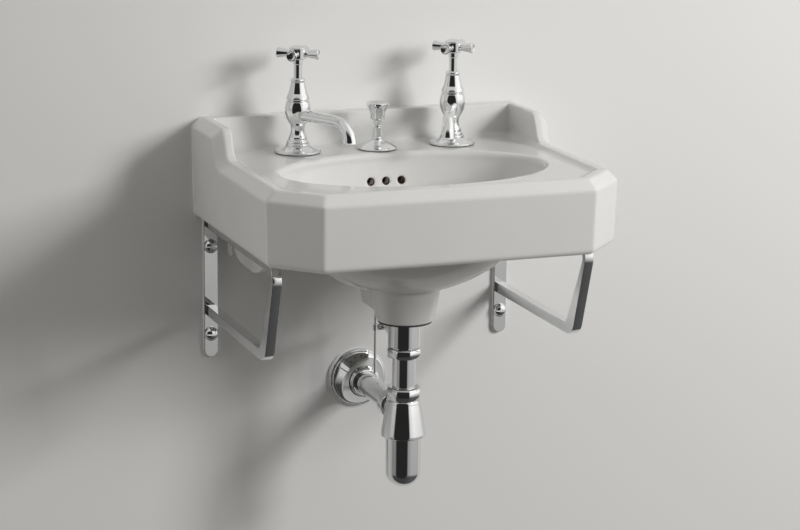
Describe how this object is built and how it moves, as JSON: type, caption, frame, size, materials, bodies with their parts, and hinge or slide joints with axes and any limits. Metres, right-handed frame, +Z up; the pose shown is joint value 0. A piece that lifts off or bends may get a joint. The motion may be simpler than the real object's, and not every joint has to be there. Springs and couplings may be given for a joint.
{
  "type": "wall-hung basin",
  "caption": "Wall-hung glazed basin on two sloping metal wall brackets, with cross-handle pillar taps, a lift-knob pop-up waste and a bottle trap.",
  "frame": {"origin": "on the wall plane, mid-width, level with the top of the flat apron face", "axes": "+X to the right seen from the front, +Y into the wall, +Z up"},
  "size_m": [0.48, 0.43, 0.5895],
  "materials": {
    "china": "warm white gloss glaze",
    "chrome": "polished plate",
    "brass": "as machined",
    "rubber": "matt black",
    "nylon": "satin off-white",
    "disc_ceramic": "lapped"
  },
  "bodies": {
    "basin_unit": {"basin": "china", "left_bracket_bar": "chrome", "right_bracket_bar": "chrome", "left_wall_plate": "chrome", "right_wall_plate": "chrome", "wall_screws": "chrome", "bracket_pads": "nylon", "hot_body": "chrome", "hot_cartridge": "brass", "hot_bonnet": "chrome", "hot_gland": "chrome", "hot_fixed_disc": "disc_ceramic", "cold_body": "chrome", "cold_cartridge": "brass", "cold_bonnet": "chrome", "cold_gland": "chrome", "cold_fixed_disc": "disc_ceramic", "tap_deck_seals": "rubber", "tap_under_washers": "nylon", "tap_back_nuts": "brass", "knob_guide": "chrome", "guide_seal": "rubber", "guide_nut": "brass", "ball_seats": "nylon", "ball_nut": "chrome", "waste_flange": "chrome", "waste_body": "chrome", "waste_seals": "rubber", "inlet_nut": "chrome", "inlet_seal": "rubber", "inlet_tube": "chrome", "slip_nut": "chrome", "slip_seal": "rubber", "trap_body": "chrome", "trap_cup": "chrome", "cup_seal": "rubber", "outlet_nut": "chrome", "outlet_seal": "rubber", "outlet_pipe": "chrome", "wall_rose": "chrome"},
    "hot_handle": {"hot_spindle": "brass", "hot_moving_disc": "disc_ceramic", "hot_handle": "chrome", "hot_handle_screw": "brass", "hot_index_cap": "chrome"},
    "cold_handle": {"cold_spindle": "brass", "cold_moving_disc": "disc_ceramic", "cold_handle": "chrome", "cold_handle_screw": "brass", "cold_index_cap": "chrome"},
    "lift": {"lift_knob": "chrome", "lift_rod": "chrome", "link_clamp": "chrome"},
    "link": {"link": "chrome"},
    "lever": {"ball_rod": "chrome"},
    "plug": {"plug_head": "chrome", "plug_seal": "rubber", "plug_stem": "brass"}
  },
  "joints": [
    {"name": "hot_turn", "type": "hinge", "parent": "basin_unit", "child": "hot_handle", "pos_m": [-0.1115, -0.0675, 0.1], "axis": [0, 0, 1], "range_deg": [0, 90]},
    {"name": "cold_turn", "type": "hinge", "parent": "basin_unit", "child": "cold_handle", "pos_m": [0.1115, -0.0675, 0.1], "axis": [0, 0, 1], "range_deg": [-90, 0]},
    {"name": "lift_slide", "type": "slide", "parent": "basin_unit", "child": "lift", "axis": [0, 0, 1], "range_m": [0, 0.022]},
    {"name": "lever_turn", "type": "hinge", "parent": "basin_unit", "child": "lever", "pos_m": [0.00336, -0.14915, -0.2315], "axis": [0.9961, -0.0885, 0], "range_deg": [0, 16.89]},
    {"name": "link_turn", "type": "hinge", "parent": "lift", "child": "link", "pos_m": [0.00996, -0.07488, -0.2425], "axis": [0.9961, -0.0885, 0], "range_deg": [0, 16.89]},
    {"name": "plug_slide", "type": "slide", "parent": "basin_unit", "child": "plug", "axis": [0, 0, 1], "range_m": [-0.01131, 0]}
  ],
  "couplings": [
    {"joint": "lever_turn", "follows": "lift_slide", "rad_per_m": 13.317},
    {"joint": "link_turn", "follows": "lift_slide", "rad_per_m": 13.317},
    {"joint": "plug_slide", "follows": "lift_slide", "ratio": -0.50968}
  ]
}
